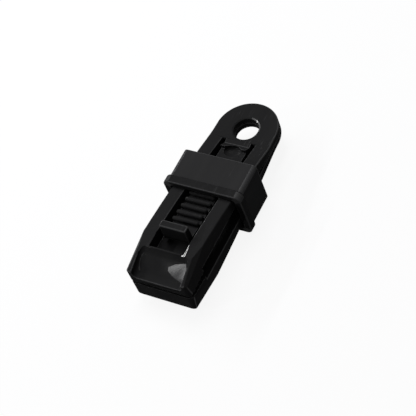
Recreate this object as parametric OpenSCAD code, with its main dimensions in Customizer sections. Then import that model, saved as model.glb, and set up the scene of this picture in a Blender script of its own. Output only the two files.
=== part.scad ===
// Slide-lock tarp clip, in millimetres.
// Two toothed arms meet at a cord eyelet, a collar slides along their wedge-shaped backs to press
// them together, and a ridged tongue in the upper arm holds the collar until its end block is pressed.
// The origin is the centre of the eyelet hole on the parting plane. The jaws point along -Y, +Z is up.

/* [Eyelet] */
// Diameter of the round eyelet end
eyelet_w = 25.2; // [23:0.2:25.8]
// Thickness of one eyelet half
eyelet_t = 2.65; // [2.4:0.05:3.2]
// Diameter of the cord hole
hole_d = 10; // [7:0.5:12]
// Width of the bevel round the mouth of the hole
hole_bevel = 0.4; // [0.2:0.1:1]
// Parting gap between the eyelet halves at their hinge
part_gap = 0.1; // [0.06:0.02:0.2]
// Parting gap where the two arms begin to spread
vee_gap = 0.5; // [0.4:0.05:0.8]
// Radial thickness of the film hinge
web_t = 0.6; // [0.4:0.1:0.9]
// Height of the film hinge across the parting plane
web_h = 3.2; // [2:0.2:4]
// Arc that the film hinge covers, in degrees
web_arc = 44; // [20:2:60]

/* [Arms] */
// Width of both arms at the parting plane
arm_w = 26.2; // [25.8:0.1:30]
// Draft of the arms' side walls, in degrees
side_draft = 4.5; // [2:0.5:5]
// Length of the arched back that the collar rides on, from the eyelet to the shoulder
arch_l = 50.4; // [46:0.2:56]
// Height that the back climbs
arch_rise = 7.2; // [6:0.1:8]
// Height that the back bows above a straight line
arch_bow = 0.85; // [0.4:0.05:1.2]
// Length from the shoulder to the crest of the finger dish
crown_l = 6.6; // [5:0.2:9]
// Height that the crown climbs
crown_rise = 0.1; // [0:0.05:0.8]
// Length from the crest to the tip of the jaw
nose_l = 10.2; // [9:0.1:13]
// Height that the upper nose falls from the crest to the tip
nose_fall = 3.25; // [2:0.05:3.6]
// Height that the lower nose falls from its shoulder to the tip
lower_fall = 2.1; // [1:0.05:3.4]
// Radius of the upright corners at the tip
nose_r = 2.3; // [1:0.1:3]
// Full width of the bevel on the upper nose's long edges
edge_cut_w = 1.4; // [0.5:0.1:2]
// Full height of the same bevel
edge_cut_h = 1.7; // [0.8:0.1:2.6]
// Height of the gap between the two arms behind the teeth
mouth_h = 6.6; // [5.6:0.1:7.4]
// Distance from the hole's centre to where the arms begin to spread
vee_from = 12; // [10:0.5:15]
// Length over which the arms spread
vee_l = 22; // [18:0.5:26]
// Width of the window in the upper arm and of the trough in the lower arm
window_w = 14.4; // [12:0.2:16]
// Thickness of the lower arm's outer skin under the trough
skin_t = 1.8; // [1.2:0.1:2.4]
// Thickness of the shelf that ties the rails under the tongue's end
shelf_t = 1; // [0.8:0.1:1.1]
// Length of that shelf from the crest
shelf_l = 11.8; // [9:0.2:14]

/* [Jaws] */
// Length of the toothed pads
pad_l = 10.9; // [9.5:0.1:11.5]
// Number of teeth on the upper pad
tooth_n = 5; // [3:1:7]
// Height of a tooth
tooth_h = 0.6; // [0.4:0.05:0.8]
// Gap between the pads at the tip
tip_gap = 1.4; // [1.3:0.05:2]
// Gap between the pads at their inner end
inner_gap = 3; // [2.4:0.1:3.6]
// Radius of the finger dish
dish_r = 14; // [10:0.5:20]
// Width of the finger dish
dish_w = 20.4; // [17:0.2:21]
// Radius where the dish turns up into its side rims
dish_side_r = 4.6; // [2:0.2:5]
// Height of the upper tip at the foot of the dish
dish_lip_z = 3.5; // [3:0.1:4.4]

/* [Release tongue] */
// Width of the slots beside the tongue
slot_w = 1.6; // [1.2:0.1:2.2]
// Thickness of the tongue
tongue_t = 1.6; // [1.2:0.1:1.8]
// Thickness of the tongue at its root
root_t = 2.2; // [1.9:0.1:2.2]
// Depth of the tongue's floor below the rails at its end block
end_drop = 2.2; // [1.8:0.05:2.4]
// Distance from the root to the stop near it
stop_l = 4.5; // [3.6:0.1:5.5]
// Length of the slope at the stop's back
stop_run = 2.7; // [1.5:0.1:3.5]
// Height of the stop above the rails
stop_h = 0.85; // [0.2:0.05:0.95]
// Radius of the pocket in the stop's front
pocket_r = 4.6; // [3:0.1:5]
// Depth of that pocket
pocket_l = 1.6; // [0.6:0.1:1.8]
// Radius of a ridge
ridge_r = 0.85; // [0.6:0.05:0.95]
// Depth of the ridges' centres below the rails
ridge_drop = 1.3; // [1.1:0.05:1.6]
// Thickness of the wall that carries a ridge
ridge_wall = 1.2; // [0.8:0.05:1.5]
// Length of a ridge across the tongue
ridge_w = 11.1; // [7:0.1:11.1]
// Spacing of the ridges
ridge_pitch = 3.2; // [2.6:0.1:3.6]
// Number of ridges
ridge_n = 8; // [4:1:9]
// Free floor between the last ridge and the end block
block_gap = 4.1; // [3:0.1:6]
// Width of the end block
block_w = 10.9; // [8:0.1:11]
// Length of the end block
block_l = 2.9; // [2:0.1:4]
// Height of the end block above the tongue's floor
block_h = 6.4; // [5:0.1:7]

/* [Collar] */
// Distance from the hole's centre to the back of the collar
collar_from = 18.9; // [17:0.1:21]
// Length of the collar behind its flange
collar_l = 12.6; // [10:0.2:14]
// Length of the flange
flange_l = 3.6; // [2:0.1:5]
// Height that the flange stands out
flange_out = 0.75; // [0.4:0.05:1.5]
// Thickness of the collar's top and bottom walls
collar_wall = 1.4; // [1:0.1:2]
// Thickness of the collar's side walls
collar_side = 1.9; // [1.2:0.1:2.6]
// Outer corner radius of the collar
collar_r = 1.6; // [1:0.1:2.2]
// Inner corner radius of the collar
collar_in_r = 0.9; // [0.4:0.1:1.1]
// Width of the catch rib under the collar's top wall
rib_w = 10; // [6:0.2:12]
// Length of the catch rib
rib_l = 1.4; // [1:0.1:2]

/* [Hidden] */

moulded_black = [0.09, 0.09, 0.095];
collar_black = [0.11, 0.11, 0.115];
$fn = 96;

// Depth by which a cut runs past the face that it opens
overrun = 1;
// Land between the hole's edge and the foot of the arched back
ramp_land = 0.8;
// Land between the hole's edge and the tongue's root
root_land = 1.1;
// Clearance at the tongue's root, where the plastic bends
root_clear = 0.1;
// Room round the film hinge for the arms to turn
web_clear = 0.08;
web_room = 0.3;
// Clearance between the collar and the upper arm's rails
rail_clear = 0.15;
// Slack between the collar and the lower arm's rails
rail_slack = 1.6;
// Clearance on each side of the arms in the collar
side_clear = 0.3;
// Clearance of the catch rib over the ridges
rib_clear = 0.15;
// Distance of the catch rib from the front of the collar
rib_inset = 0.3;
// Number of flats that make up the arched back
arch_n = 12;
// Wall left at either end of the lower trough
trough_land = 1.5;
// Distance that the end block stands behind the shoulder
block_back = 0.6;
// Land left between the window and the finger dish
crest_land = 0.5;

eyelet_r = eyelet_w / 2;
arm_r = arm_w / 2;

// Stations along the arms, all at negative Y
ramp_y = -(hole_d / 2 + ramp_land);
root_y = -(hole_d / 2 + root_land);
shoulder_y = ramp_y - arch_l;
crest_y = shoulder_y - crown_l;
tip_y = crest_y - nose_l;
pad_y = tip_y + pad_l;
vee_y = -vee_from;
spread_y = vee_y - vee_l;

// Heights of the arms' outer faces above the parting plane
shoulder_z = eyelet_t + arch_rise;
crest_z = shoulder_z + crown_rise;
tip_z = crest_z - nose_fall;
lower_tip_z = shoulder_z - lower_fall;
mouth_z = mouth_h / 2;

// The tongue's stations
tongue_w = window_w - 2 * slot_w;
tongue_root_y = root_y - root_clear;
stop_y = tongue_root_y - stop_l;
stop_z = rail_z(stop_y) + stop_h;
block_end_y = shoulder_y + block_back;
block_y = block_end_y + block_l;
last_ridge_y = block_y + block_gap + ridge_r;

// The collar's stations and inner faces
collar_back_y = -collar_from;
flange_y = collar_back_y - collar_l;
collar_front_y = flange_y - flange_l;
collar_top = rail_z(collar_front_y) + rail_clear;
collar_floor = -(rail_z(collar_front_y) + rail_slack);
collar_in_h = collar_top - collar_floor;
collar_mid_z = (collar_top + collar_floor) / 2;
collar_in_w = arm_w + 2 * side_clear;
collar_w = collar_in_w + 2 * collar_side;
collar_h = collar_in_h + 2 * collar_wall;
rib_y = collar_front_y + rib_inset;
rib_z = ridge_z(collar_front_y) + ridge_r + rib_clear;

// Height of the rails' outer face at a station
function rail_z(y) =
    let (share = (ramp_y - y) / arch_l)
    eyelet_t + arch_rise * share + 4 * arch_bow * share * (1 - share);
// Points along the arched back between two stations, a depth below its face
function arch_line(from_y, to_y, depth) = [
    for (i = [0 : arch_n])
        let (y = from_y + (to_y - from_y) * i / arch_n)
        [y, rail_z(y) - depth]
];
// Height of the lower nose's outer face at a station
function nose_z(y) = lookup(-y, [[-shoulder_y, shoulder_z], [-tip_y, lower_tip_z]]);
// Height of the tongue's straight floor at a station
function floor_z(y) = lookup(-y, [
    [-stop_y, eyelet_t],
    [-block_end_y, rail_z(block_end_y) - end_drop]
]);
// Height of a ridge's centre at a station
function ridge_z(y) = rail_z(y) - ridge_drop;
// Half width of an arm at a height, with its draft
function half_w(z) = arm_r - z * tan(side_draft);

// Zigzag of a tooth pad from the tip inwards; raised is 1 where the even points are the crests
function pad_line(raised) = [
    for (i = [0 : 2 * tooth_n])
        let (share = i / (2 * tooth_n))
        let (gap = tip_gap + (inner_gap - tip_gap) * share)
        [tip_y + pad_l * share, (gap + tooth_h) / 2 - tooth_h * ((i + raised) % 2)]
];

// Side outline of an arm above the parting plane, from its nose points and its tooth phase
function arm_outline(nose, raised) = concat(
    [
        [eyelet_r + overrun, part_gap / 2],
        [eyelet_r + overrun, eyelet_t]
    ],
    arch_line(ramp_y, shoulder_y, 0),
    nose,
    pad_line(raised),
    [
        [pad_y, mouth_z],
        [spread_y, mouth_z],
        [vee_y, vee_gap / 2]
    ]
);

// Extrudes a Y-Z outline across the part
module across(width) {
    rotate([90, 0, 90])
        linear_extrude(height = width, center = true)
            children();
}

// Extrudes an X-Z outline from one station to a lower one
module along(from_y, to_y) {
    translate([0, from_y, 0])
        rotate([90, 0, 0])
            linear_extrude(height = from_y - to_y)
                children();
}

// A rectangle with round corners, centred
module round_rect(w, h, r) {
    square([w - 2 * r, h], center = true);
    square([w, h - 2 * r], center = true);
    for (sx = [-1, 1], sz = [-1, 1])
        translate([sx * (w / 2 - r), sz * (h / 2 - r)])
            circle(r = r);
}

// Plan of an arm, drawn up: round eyelet end, slight flare, straight sides, round corners at the tip
module arm_plan() {
    plan_h = crest_z + 2 * overrun;
    cylinder(h = plan_h, r = eyelet_r);
    linear_extrude(height = plan_h)
        polygon([
            [-eyelet_r, 0],
            [eyelet_r, 0],
            [arm_r, vee_y],
            [arm_r, tip_y + nose_r],
            [-arm_r, tip_y + nose_r],
            [-arm_r, vee_y]
        ]);
    translate([nose_r - arm_r, tip_y, 0])
        cube([arm_w - 2 * nose_r, 2 * nose_r, plan_h]);
    for (sx = [-1, 1])
        translate([sx * (arm_r - nose_r), tip_y + nose_r, 0])
            cylinder(h = plan_h, r = nose_r);
}

// Drafted cross-section of an arm, drawn along its whole length
module arm_section() {
    z_end = crest_z + overrun;
    along(eyelet_r + overrun, tip_y - overrun)
        polygon([[-arm_r, 0], [arm_r, 0], [half_w(z_end), z_end], [-half_w(z_end), z_end]]);
}

// Solid arm above the parting plane, before its openings are cut
module arm_blank(nose, raised) {
    intersection() {
        across(arm_w + 2 * overrun)
            polygon(arm_outline(nose, raised));
        arm_section();
        arm_plan();
    }
}

// Cord hole with its bevelled mouth on the outer face
module hole_cut() {
    hole_r = hole_d / 2;
    translate([0, 0, -overrun])
        cylinder(h = eyelet_t + 2 * overrun, r = hole_r);
    translate([0, 0, eyelet_t - hole_bevel])
        cylinder(h = hole_bevel + overrun, r1 = hole_r, r2 = hole_r + hole_bevel + overrun);
}

// Ring sector at the far end of the eyelet, where the film hinge lies
module web_ring(inner_r, outer_r, height, arc) {
    rotate([0, 0, 90 - arc / 2])
        rotate_extrude(angle = arc)
            translate([inner_r, -height / 2])
                square([outer_r - inner_r, height]);
}

// Seat of the film hinge in one arm
module web_seat(room) {
    arc_room = 2 * atan(room / eyelet_r);
    web_ring(eyelet_r - web_t - room, eyelet_r + overrun, web_h + 2 * room, web_arc + arc_room);
}

// Wheel whose rim scoops the finger dish through the crest and the lip
module dish_cut() {
    chord = [crest_y - tip_y, crest_z - dish_lip_z];
    reach = norm(chord);
    rise = sqrt(dish_r * dish_r - reach * reach / 4);
    centre = [(crest_y + tip_y) / 2, (crest_z + dish_lip_z) / 2] + [-chord[1], chord[0]] * rise / reach;
    flat_w = dish_w - 2 * dish_side_r;
    translate([0, centre[0], centre[1]])
        rotate([0, 90, 0])
            rotate_extrude() {
                translate([0, -dish_w / 2])
                    square([dish_r - dish_side_r, dish_w]);
                translate([0, -flat_w / 2])
                    square([dish_r, flat_w]);
                for (sx = [-1, 1])
                    translate([dish_r - dish_side_r, sx * flat_w / 2])
                        circle(r = dish_side_r);
            }
}

// Bevel of the upper nose's long edges, from nothing at the shoulder to its full size at the crest
module edge_cut() {
    from = [half_w(shoulder_z), shoulder_y, shoulder_z];
    inner = [half_w(crest_z) - edge_cut_w, crest_y, crest_z];
    outer = [half_w(crest_z - edge_cut_h), crest_y, crest_z - edge_cut_h];
    facing = cross(inner - from, outer - from);
    tilt = acos(facing[2] / norm(facing));
    turn = atan2(facing[1], facing[0]);
    for (side = [0, 1])
        mirror([side, 0, 0])
            translate(from)
                rotate([0, tilt, turn])
                    translate([-arch_l, -arch_l, 0])
                        cube(2 * arch_l);
}

// Window of the upper arm, open above the shelf and right through behind it
module window_cut() {
    window_y = crest_y + crest_land;
    translate([-window_w / 2, window_y, mouth_z + shelf_t])
        cube([window_w, root_y - window_y, crest_z]);
    translate([-window_w / 2, crest_y + shelf_l, -overrun])
        cube([window_w, root_y - crest_y - shelf_l, crest_z]);
}

// Trough inside the lower arm, drawn as on the upper side
module trough_cut() {
    trough_y = pad_y + trough_land;
    trough_back_y = vee_y - trough_land;
    across(window_w)
        polygon(concat(
            [[trough_back_y, -overrun]],
            arch_line(trough_back_y, shoulder_y, skin_t),
            [[trough_y, nose_z(trough_y) - skin_t], [trough_y, -overrun]]
        ));
}

// One rounded ridge of the tongue on its wall, which reaches down by a foot
module ridge(foot) {
    run = ridge_w - 2 * ridge_r;
    rotate([0, 90, 0])
        cylinder(h = run, r = ridge_r, center = true);
    for (sx = [-1, 1])
        translate([sx * run / 2, 0, 0])
            sphere(r = ridge_r);
    translate([-run / 2, -ridge_wall / 2, -foot])
        cube([run, ridge_wall, foot]);
}

// Tongue plate from its root to its end
module tongue_plate() {
    across(tongue_w)
        polygon([
            [tongue_root_y, eyelet_t - root_t],
            [tongue_root_y, eyelet_t],
            [stop_y, eyelet_t],
            [block_end_y, floor_z(block_end_y)],
            [block_end_y, floor_z(block_end_y) - tongue_t],
            [stop_y, eyelet_t - tongue_t]
        ]);
}

// Stop on the plate, with a pocket in its upright front
module tongue_stop() {
    foot_z = eyelet_t - tongue_t / 2;
    difference() {
        across(tongue_w)
            polygon([
                [stop_y + stop_run, foot_z],
                [stop_y + stop_run, eyelet_t],
                [stop_y, stop_z],
                [stop_y, foot_z]
            ]);
        translate([0, stop_y + pocket_l - pocket_r, foot_z - overrun])
            cylinder(h = stop_z + overrun, r = pocket_r);
    }
}

// Bore through the collar for the two arms
module collar_bore() {
    translate([0, 0, collar_mid_z])
        along(collar_back_y + overrun, collar_front_y - overrun)
            round_rect(collar_in_w, collar_in_h, collar_in_r);
}

// Catch rib that hangs from the collar's top wall over the ridges
module catch_rib() {
    across(rib_w)
        polygon([
            [rib_y, collar_top + collar_wall / 2],
            [rib_y, collar_top],
            [rib_y + rib_l / 2, rib_z],
            [rib_y + rib_l, collar_top],
            [rib_y + rib_l, collar_top + collar_wall / 2]
        ]);
}

module upper_arm() {
    color(moulded_black)
        difference() {
            arm_blank([[crest_y, crest_z], [tip_y, tip_z]], 0);
            hole_cut();
            web_seat(web_room);
            window_cut();
            dish_cut();
            edge_cut();
        }
}

module lower_arm() {
    color(moulded_black)
        mirror([0, 0, 1])
            difference() {
                arm_blank([[tip_y, lower_tip_z]], 1);
                hole_cut();
                web_seat(web_clear);
                trough_cut();
            }
}

module tongue() {
    color(moulded_black) {
        tongue_plate();
        tongue_stop();
        for (i = [0 : ridge_n - 1])
            let (y = last_ridge_y + i * ridge_pitch)
            translate([0, y, ridge_z(y)])
                ridge(ridge_z(y) - floor_z(y) + tongue_t / 2);
        translate([-block_w / 2, block_end_y, floor_z(block_y) - tongue_t / 2])
            cube([block_w, block_l, block_h + tongue_t / 2]);
    }
}

module collar() {
    color(collar_black) {
        difference() {
            union() {
                translate([0, 0, collar_mid_z])
                    along(collar_back_y, collar_front_y)
                        round_rect(collar_w, collar_h, collar_r);
                translate([0, 0, collar_mid_z])
                    along(flange_y, collar_front_y)
                        round_rect(collar_w + 2 * flange_out, collar_h + 2 * flange_out, collar_r + flange_out);
            }
            collar_bore();
        }
        catch_rib();
    }
}

module hinge_web() {
    color(moulded_black)
        web_ring(eyelet_r - web_t, eyelet_r, web_h, web_arc);
}

upper_arm();
lower_arm();
tongue();
collar();
hinge_web();
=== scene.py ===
"""Slide-lock tarp clip: the moulded looks of its arms, tongue and collar.

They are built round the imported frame, in metres.
The frame's origin is the centre of the eyelet hole, and the jaws point along -Y.
"""

import math

import bmesh
import bpy
from bpy.props import FloatProperty, FloatVectorProperty, IntProperty, PointerProperty
from bpy.types import Operator, Panel, PropertyGroup
from mathutils import Euler, Matrix, Vector


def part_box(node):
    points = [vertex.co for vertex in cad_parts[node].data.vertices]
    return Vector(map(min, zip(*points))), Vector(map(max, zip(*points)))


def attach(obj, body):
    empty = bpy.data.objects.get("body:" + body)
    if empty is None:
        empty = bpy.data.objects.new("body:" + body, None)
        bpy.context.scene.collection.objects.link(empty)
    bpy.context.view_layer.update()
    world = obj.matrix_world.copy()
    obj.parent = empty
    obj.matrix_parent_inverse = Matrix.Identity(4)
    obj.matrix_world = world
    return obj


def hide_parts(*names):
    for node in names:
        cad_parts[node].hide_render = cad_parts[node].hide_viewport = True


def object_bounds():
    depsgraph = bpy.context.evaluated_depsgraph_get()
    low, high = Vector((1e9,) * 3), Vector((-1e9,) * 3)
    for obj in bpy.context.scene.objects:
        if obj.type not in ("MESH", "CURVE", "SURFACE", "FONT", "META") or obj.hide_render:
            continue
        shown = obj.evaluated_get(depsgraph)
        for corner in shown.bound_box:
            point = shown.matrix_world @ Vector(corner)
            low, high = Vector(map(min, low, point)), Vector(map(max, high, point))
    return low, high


bl_info = {
    "name": "Tarp clip",
    "version": (1, 0, 0),
    "blender": (4, 5, 0),
    "location": "3D View > Sidebar > Tarp clip",
    "description": "Builds the moulded pieces of a slide-lock tarp clip, its finish and its stage",
    "category": "Add Mesh",
}

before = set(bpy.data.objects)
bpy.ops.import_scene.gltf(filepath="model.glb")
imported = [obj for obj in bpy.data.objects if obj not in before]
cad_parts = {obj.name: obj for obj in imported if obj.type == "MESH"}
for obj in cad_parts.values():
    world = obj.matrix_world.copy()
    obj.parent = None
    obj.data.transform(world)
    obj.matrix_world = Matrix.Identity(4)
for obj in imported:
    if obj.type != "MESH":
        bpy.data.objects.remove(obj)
CAD_LOW, CAD_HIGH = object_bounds()
COLLAR_LOW, COLLAR_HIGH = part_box("collar")
TONGUE_LOW, TONGUE_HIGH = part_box("tongue")

MM = 0.001
# Vertices closer than this are one vertex, after a cut and along a seam
MERGE_GAP, SEAM_GAP = 0.05 * MM, 0.001 * MM
# Faces that turn less than this are one face
FLAT_TURN = math.radians(0.2)
# Edges that turn more than this get a moulded radius
SHARP_TURN = math.radians(18)
# Edges without a radius that turn more than this stay crisp
CRISP_TURN = math.radians(4)
# Faces whose normals agree better than this with a given facing belong to that face
FACING_MATCH = 0.9999
# Faces whose upward share is this close to the hole mouth's belong to its bevel
MOUTH_MATCH = 0.01
# Upward share of the normals on rounded edges, from and to
ROUNDED_UP = (0.1, 0.99)
# Share of the normals on the window's right edge that points to the middle
WINDOW_IN = 0.1
# Upward share of the less level face at the nose's corners, from and to
NOSE_UP = (0.2, 0.75)
# Upward share past which a face is level
LEVEL_UP = 0.9
# Marks of the right dish corner, the left nose bevel and the thin bright edges: any mark lightens
# the colour as a painted highlight, and larger marks shine more
DISH_HIGHLIGHT, BEVEL_HIGHLIGHT, LINE_HIGHLIGHT = 1.6, 1.0, 7.0
# Mark of a rounded face that gets no painted highlight and no extra shine
NO_HIGHLIGHT = -1.0
# Length by which a cut runs past the face that it opens
OVERRUN = 1.0 * MM
# Edges closer than this to a line count as on it
NEAR = 0.2 * MM
# Faces of the collar narrower than this are rims and corners
RIM_FACE = 0.5 * MM
# Edges nearer to the hollow than this share of its size are its rim
HOLLOW_RIM = 1.05

# Points on round ends, corners, the film hinge, the arched back and its start
ROUND_POINTS, CORNER_POINTS, HINGE_POINTS, ARCH_POINTS, BLEND_POINTS = 64, 10, 16, 24, 5
# Points on the stop's pocket, the dish's wheel, the collar's corners and its rims
POCKET_POINTS, WHEEL_POINTS, SLEEVE_POINTS, RIM_POINTS = 72, 112, 8, 5
# Segments and rings of the hollow's ball and of a ridge
HOLLOW_BALL, RIDGE_BALL = (48, 23), (32, 16)
# Points within this share of a ridge's radius of its middle stay there
RIDGE_SLACK = 0.01
# Segments of a moulded radius
RADIUS_SEGMENTS = 3

BLACK, WHITE = (0.0, 0.0, 0.0, 1.0), (1.0, 1.0, 1.0, 1.0)
# How much more blue than red the greys have
COOL_TINT = 1.03
# Middle level of a noise
NOISE_MIDDLE = 0.5
# Features per metre of the plastic's noises, and how far two are drawn out along the arms
FLOW_SCALE, STREAK_SCALE, PATCH_SCALE, DUST_SCALE = 160.0, 2600.0, 110.0, 1900.0
FLOW_STRETCH, STREAK_STRETCH = 6.0, 30.0
# Levels of noise between which streaks, patches and dust come in
STREAK_LEVELS, PATCH_LEVELS, DUST_LEVELS = (0.6, 0.72), (0.5, 0.68), (0.76, 0.82)
# Darkest and lightest tone of the base colour, and the share of flow marks in the tone
DARKEST, LIGHTEST, FLOW_TONE = 0.72, 1.28, 0.6
# Share of the scuff colour in rub marks, dust and marked edges; on the edges it is partly wear and
# partly a painted highlight
RUB_COLOUR, DUST_COLOUR, EDGE_SCUFF_AND_HIGHLIGHT = 0.35, 0.15, 0.9
# Roughness that flow marks, grain, rub marks and dust add
FLOW_ROUGH, GRAIN_ROUGH, RUB_ROUGH, DUST_ROUGH = 0.1, 0.12, -0.06, 0.05
# Shine that rub marks and flow marks add
RUB_SHINE, FLOW_SHINE = 0.05, 0.015
# Strength of the grain's bump, and the share of streaks in its height
BUMP_STRENGTH, STREAK_HEIGHT = 0.35, 0.3

# Lamps, with their width along Y and their height
LAMPS = (("key", 0.3, 0.3), ("side", 0.54, 0.012), ("front", 0.06, 0.06))
LAMP_DISTANCE = 0.6


# Settings

def length(name, description, millimetres):
    """A length property whose default is given in millimetres."""
    return FloatProperty(
        name=name,
        description=description,
        default=millimetres * MM,
        min=0.0,
        precision=5,
        subtype="DISTANCE",
        unit="LENGTH",
    )


def colour(name, description, grey):
    """A colour property whose default is a linear grey, slightly cool."""
    return FloatVectorProperty(
        name=name,
        description=description,
        default=(grey, grey, grey * COOL_TINT),
        size=3,
        min=0.0,
        max=1.0,
        subtype="COLOR",
    )


def share(name, description, default):
    """A property between zero and one."""
    return FloatProperty(
        name=name,
        description=description,
        default=default,
        min=0.0,
        max=1.0,
        subtype="FACTOR",
    )


def angle(name, description, degrees):
    """An angle property whose default is given in degrees."""
    return FloatProperty(
        name=name,
        description=description,
        default=math.radians(degrees),
        subtype="ANGLE",
        unit="ROTATION",
    )


def count(name, description, default):
    """A property that counts pieces."""
    return IntProperty(name=name, description=description, default=default, min=1)


def power(name, description, watts):
    """The power of a lamp."""
    return FloatProperty(
        name=name, description=description, default=watts, min=0.0, unit="POWER"
    )


def vector(name, description, default, subtype, unit="NONE"):
    """A property of three numbers, a place or a direction."""
    return FloatVectorProperty(
        name=name, description=description, default=default, size=3, subtype=subtype, unit=unit
    )


class TarpClipSizes(PropertyGroup):
    """Sizes of the moulded pieces."""

    edge_radius: length("Edge radius", "Moulded radius on most edges of the arms", 0.26)
    rail_radius: length("Rail radius", "Radius on the outer edges of rails and eyelet", 0.42)
    mouth_width: length("Hole mouth width", "Width of the shallow bevel round the mouth", 0.55)
    mouth_lean: angle("Hole mouth lean", "Lean of that bevel", 25.0)
    fine_radius: length("Fine radius", "Moulded radius on teeth and other small edges", 0.1)
    tongue_radius: length("Tongue edge radius", "Moulded radius on the tongue's edges", 0.22)
    block_radius: length("Block edge radius", "Moulded radius on the end block's edges", 0.45)
    collar_radius: length("Collar edge radius", "Moulded radius on the collar's rims", 0.4)
    step_radius: length("Flange step radius", "Radius in the corner behind the flange", 0.25)

    eyelet_width: length("Eyelet width", "Diameter of the round eyelet end", 25.2)
    eyelet_thickness: length("Eyelet half", "Thickness of one eyelet half", 2.65)
    hole_width: length("Hole width", "Diameter of the cord hole", 10.0)
    part_gap: length("Parting gap", "Gap between the eyelet halves", 0.1)
    vee_gap: length("Spread gap", "Gap where the two arms begin to spread", 0.5)
    web_thickness: length("Film hinge thickness", "Radial thickness of the film hinge", 0.6)
    web_height: length("Film hinge height", "Height of the film hinge", 3.2)
    web_arc: angle("Film hinge arc", "Arc that the film hinge covers", 44.0)
    upper_room: length("Upper seat room", "Room round the film hinge in the upper arm", 0.3)
    lower_room: length("Lower seat room", "Room round the film hinge in the lower arm", 0.08)

    arm_width: length("Arm width", "Width of both arms at the parting plane", 26.2)
    side_draft: angle("Side draft", "Draft of the arms' side walls", 4.5)
    ramp_from: length("Arch start", "Distance from the hole's centre to the foot of the back", 5.8)
    arch_length: length("Arch length", "Length of the arched back", 50.4)
    arch_rise: length("Arch rise", "Height that the back climbs", 7.2)
    arch_bow: length("Arch bow", "Height that the back bows above a straight line", 0.85)
    arch_blend: length("Arch blend", "Half length of the eyelet's run into the back", 2.6)
    crown_length: length("Crown length", "Length from the shoulder to the crest", 6.6)
    crown_rise: length("Crown rise", "Height that the crown climbs", 0.1)
    crown_ease: length("Crown ease", "Width of the eased edges of the crown at the crest", 0.95)
    crown_lean: angle("Crown lean", "Lean of those eased edges", 12.0)
    nose_length: length("Nose length", "Length from the crest to the tip", 10.2)
    nose_fall: length("Nose fall", "Height that the upper nose falls to the tip", 3.25)
    lower_fall: length("Lower nose fall", "Height that the lower nose falls to the tip", 2.1)
    nose_corner: length("Nose corner", "Radius of the upright corners at the tip", 2.3)
    bevel_width: length("Nose bevel width", "Width of the bevel on the nose's long edges", 1.4)
    bevel_height: length("Nose bevel height", "Height of the same bevel", 1.7)
    mouth_height: length("Mouth height", "Gap between the two arms behind the teeth", 6.6)
    vee_from: length("Spread start", "Distance from the hole's centre to the spread", 12.0)
    vee_length: length("Spread length", "Length over which the arms spread", 22.0)
    window_width: length("Window width", "Width of the window and of the trough", 14.4)
    window_land: length("Window land", "Land between the window and the dish", 0.5)
    root_land: length("Root land", "Land between the hole and the window", 1.1)
    shelf_thickness: length("Shelf thickness", "Thickness of the shelf under the tongue's end", 1.0)
    shelf_length: length("Shelf length", "Length of the shelf from the crest", 11.8)
    skin: length("Lower skin", "Thickness of the lower arm's skin under the trough", 1.8)
    trough_land: length("Trough land", "Wall left at either end of the trough", 1.5)

    pad_length: length("Pad length", "Length of the toothed pads", 10.9)
    tooth_count: count("Teeth", "Number of teeth on the upper pad", 5)
    tooth_height: length("Tooth height", "Height of a tooth", 0.6)
    tip_gap: length("Tip gap", "Gap between the pads at the tip", 1.4)
    inner_gap: length("Inner gap", "Gap between the pads at their inner end", 3.0)
    dish_radius: length("Dish radius", "Radius of the finger dish", 14.0)
    dish_width: length("Dish width", "Width of the finger dish", 20.4)
    dish_flank: length("Dish flank", "Radius where the dish turns up into its rims", 2.0)
    dish_lip: length("Dish lip", "Height of the upper tip at the foot of the dish", 3.5)
    corner_across: length("Dish corner width", "Distance of the flat corners' tips across", 2.0)
    corner_lean: angle("Dish corner lean", "Lean of the flat corners towards the middle", 4.5)
    corner_along: length("Dish corner depth", "Distance of those tips from the crest", 4.2)

    tongue_thickness: length("Tongue thickness", "Thickness of the tongue's plate", 1.6)
    root_thickness: length("Root thickness", "Thickness of the tongue at its root", 2.2)
    root_sink: length("Root sink", "Length by which the tongue's root runs into the arm", 0.35)
    end_drop: length("End drop", "Depth of the tongue's floor below the rails at its end", 2.2)
    stop_from_root: length("Stop distance", "Distance from the root to the stop's edge", 4.5)
    stop_run: length("Stop slope", "Length of the slope at the stop's back", 2.7)
    stop_height: length("Stop height", "Height of the stop above the rails", 0.85)
    pocket_radius: length("Pocket radius", "Radius of the pocket in the stop's front", 4.6)
    pocket_depth: length("Pocket depth", "Depth of that pocket", 1.6)
    slot_ease: length("Slot ease", "Length by which each side slot is wider than it has to be", 0.3)
    hollow_across: length("Hollow width", "Half width of the hollow in front of the stop", 3.9)
    hollow_along: length("Hollow length", "Half length of that hollow", 2.7)
    hollow_depth: length("Hollow depth", "Depth of that hollow", 1.38)
    hollow_back: length("Hollow set back", "Distance of the hollow's middle from the stop", 0.7)
    block_width: length("Block width", "Width of the end block", 10.9)
    block_length: length("Block length", "Length of the end block", 2.9)
    block_height: length("Block height", "Height of the end block above the floor", 6.4)
    block_gap: length("Block gap", "Free floor between the last ridge and the end block", 4.1)

    ridge_count: count("Ridges", "Number of ridges", 8)
    ridge_radius: length("Ridge radius", "Radius of a ridge", 0.85)
    ridge_drop: length("Ridge drop", "Depth of the ridges' centres below the rails", 1.3)
    ridge_wall: length("Ridge wall", "Thickness of the wall that carries a ridge", 1.2)
    ridge_foot: length("Ridge foot", "Height of that wall under a ridge's centre", 1.3)
    ridge_width: length("Ridge width", "Length of a ridge across the tongue", 11.1)
    ridge_pitch: length("Ridge pitch", "Spacing of the ridges", 3.2)

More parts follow.
